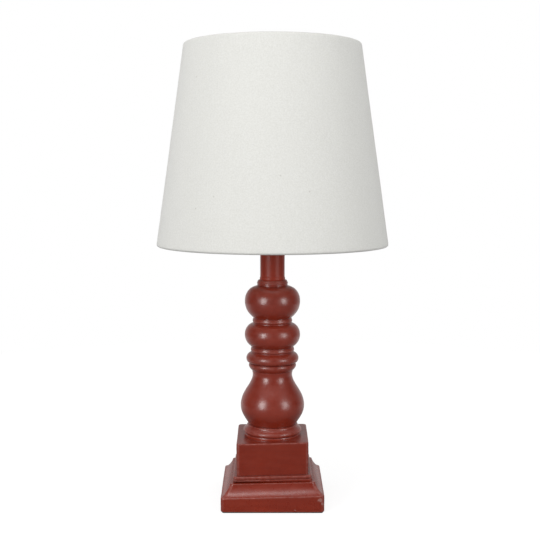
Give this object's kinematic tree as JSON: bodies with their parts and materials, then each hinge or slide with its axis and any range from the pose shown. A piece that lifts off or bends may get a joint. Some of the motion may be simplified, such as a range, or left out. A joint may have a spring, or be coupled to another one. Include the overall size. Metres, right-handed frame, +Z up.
{
  "type": "table lamp",
  "caption": "Candlestick table lamp with a square moulded foot, turned baluster column and a tapered drum shade on a harp.",
  "frame": {"origin": "middle of the felt underside, on the surface that the lamp stands on", "axes": "+Z up the column; -Y is the front, where the switch knob points; +Y is the back, where the cord inlet is"},
  "size_m": [0.2534, 0.2534, 0.5065],
  "materials": {
    "painted_wood": "satin brick-red paint on turned and moulded wood",
    "painted_steel": "satin brick-red paint on steel",
    "felt": "black felt",
    "pipe_steel": "zinc-plated steel",
    "brass": "satin brass",
    "black_plastic": "black phenolic",
    "fibre": "brown fibre paper",
    "aluminium": "rolled aluminium",
    "frosted_glass": "white frosted glass",
    "linen": "off-white woven linen, matt",
    "styrene": "white hardback lining",
    "white_wire": "white-coated wire"
  },
  "bodies": {
    "lamp_body": {"felt_pad": "felt", "base_slab": "painted_wood", "cord_bushing": "black_plastic", "plinth_block": "painted_wood", "turned_column": "painted_wood", "neck_tube": "painted_steel", "neck_cap": "painted_steel", "lamp_pipe": "pipe_steel", "pipe_washer": "pipe_steel", "lock_washer": "pipe_steel", "pipe_nut": "pipe_steel", "check_nut": "brass", "harp_saddle": "brass", "socket_cap": "brass", "cap_screw": "pipe_steel", "socket_shell": "brass", "shell_liner": "fibre", "socket_core": "black_plastic", "terminal_screw_hot": "brass", "terminal_screw_neutral": "pipe_steel", "screw_shell": "aluminium", "centre_contact": "brass"},
    "switch": {"switch_spindle": "brass", "switch_knob": "black_plastic"},
    "bulb": {"bulb_tip": "pipe_steel", "bulb_insulator": "black_plastic", "bulb_cap": "aluminium", "bulb_glass": "frosted_glass"},
    "harp": {"harp_wire": "brass"},
    "left_sleeve": {"harp_sleeve_left": "brass"},
    "right_sleeve": {"harp_sleeve_right": "brass"},
    "swivel_stud": {"harp_stud": "brass"},
    "shade": {"shade_cover": "linen", "shade_liner": "styrene", "shade_top_ring": "white_wire", "shade_bottom_ring": "white_wire", "shade_spider": "white_wire"},
    "finial": {"finial": "brass"}
  },
  "joints": [
    {"name": "switch_turn", "type": "hinge", "parent": "lamp_body", "child": "switch", "pos_m": [0, -0.03, 0.3343], "axis": [0, -1, 0], "continuous": true},
    {"name": "bulb_unscrew", "type": "slide", "parent": "lamp_body", "child": "bulb", "axis": [0, 0, 1], "range_m": [0, 0.0254]},
    {"name": "harp_lift", "type": "slide", "parent": "lamp_body", "child": "harp", "axis": [0, 0, 1], "range_m": [0, 0.03]},
    {"name": "left_sleeve_lift", "type": "slide", "parent": "harp", "child": "left_sleeve", "axis": [0, 0, 1], "range_m": [0, 0.02]},
    {"name": "right_sleeve_lift", "type": "slide", "parent": "harp", "child": "right_sleeve", "axis": [0, 0, 1], "range_m": [0, 0.02]},
    {"name": "swivel_turn", "type": "hinge", "parent": "harp", "child": "swivel_stud", "pos_m": [0, 0, 0.481], "axis": [0, 0, 1], "continuous": true},
    {"name": "shade_lift", "type": "slide", "parent": "swivel_stud", "child": "shade", "axis": [0, 0, 1], "range_m": [0, 0.24]},
    {"name": "finial_turn", "type": "hinge", "parent": "shade", "child": "finial", "pos_m": [0, 0, 0.49], "axis": [0, 0, 1], "continuous": true}
  ]
}
